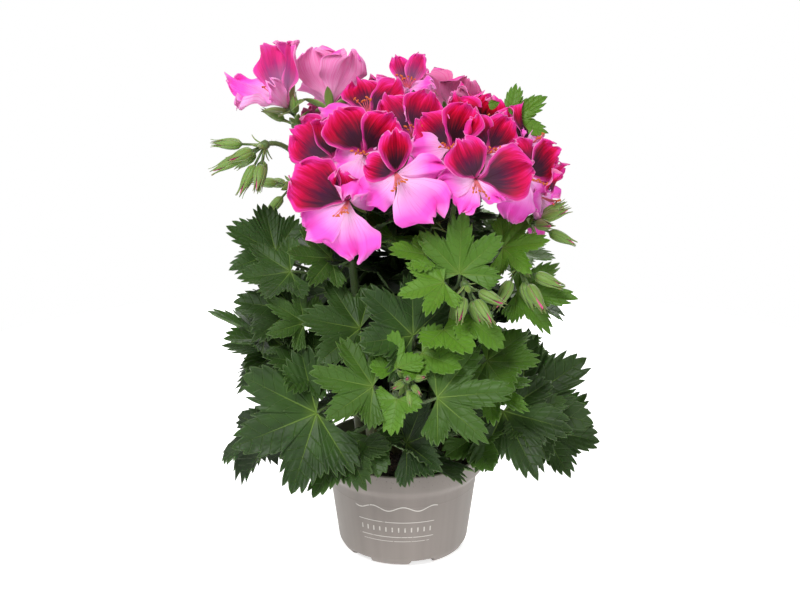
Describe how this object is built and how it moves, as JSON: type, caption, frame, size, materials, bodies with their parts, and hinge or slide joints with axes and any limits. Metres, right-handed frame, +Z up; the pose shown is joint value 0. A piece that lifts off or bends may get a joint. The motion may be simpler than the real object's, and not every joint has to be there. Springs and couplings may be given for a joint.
{
  "type": "potted regal pelargonium",
  "caption": "Regal pelargonium in a taupe plastic pot, with toothed green leaves, hanging buds and a dome of pink ruffled flowers with dark maroon blotches.",
  "frame": {"origin": "centre of the pot's flat base, on the surface it stands on", "axes": "+Z up along the pot's axis; the front of the plant, as pictured, looks along -Y; +X is to the viewer's right"},
  "size_m": [0.2717, 0.2406, 0.3663],
  "materials": {
    "pot_plastic": "moulded, matt, taupe grey",
    "mix": "damp peat and bark crumbs, near black",
    "foliage": "softly hairy leaves and stems, satin green",
    "petal": "thin silky petals, hot pink with maroon blotches"
  },
  "bodies": {
    "root": {"pot": "pot_plastic", "potting_mix": "mix", "leafy_stem_front": "foliage", "leafy_stem_front_left": "foliage", "leafy_stem_left_tall": "foliage", "leafy_stem_centre": "foliage", "leafy_stem_front_right": "foliage", "leafy_stem_right": "foliage", "leafy_stem_right_low": "foliage", "leafy_stem_back_left": "foliage", "leafy_stem_back": "foliage", "leafy_stem_back_right": "foliage", "petals_left_low": "petal", "petals_left_outer": "petal", "petals_left_upper": "petal", "petals_middle_low": "petal", "petals_middle_upper": "petal", "petals_middle_top": "petal", "petals_right_upper": "petal", "petals_right_low": "petal", "petals_right_mid": "petal", "petals_side_mid": "petal", "petals_side_upper": "petal", "petals_side_low": "petal", "petals_top_left": "petal", "petals_top_back": "petal", "petals_top_middle": "petal", "petals_crown_right": "petal", "petals_back_left_low": "petal", "petals_back_left_mid": "petal", "petals_back_left_top": "petal", "petals_back_low": "petal", "petals_back_upper": "petal", "petals_back_right_low": "petal", "petals_back_right_top": "petal"}
  },
  "joints": []
}
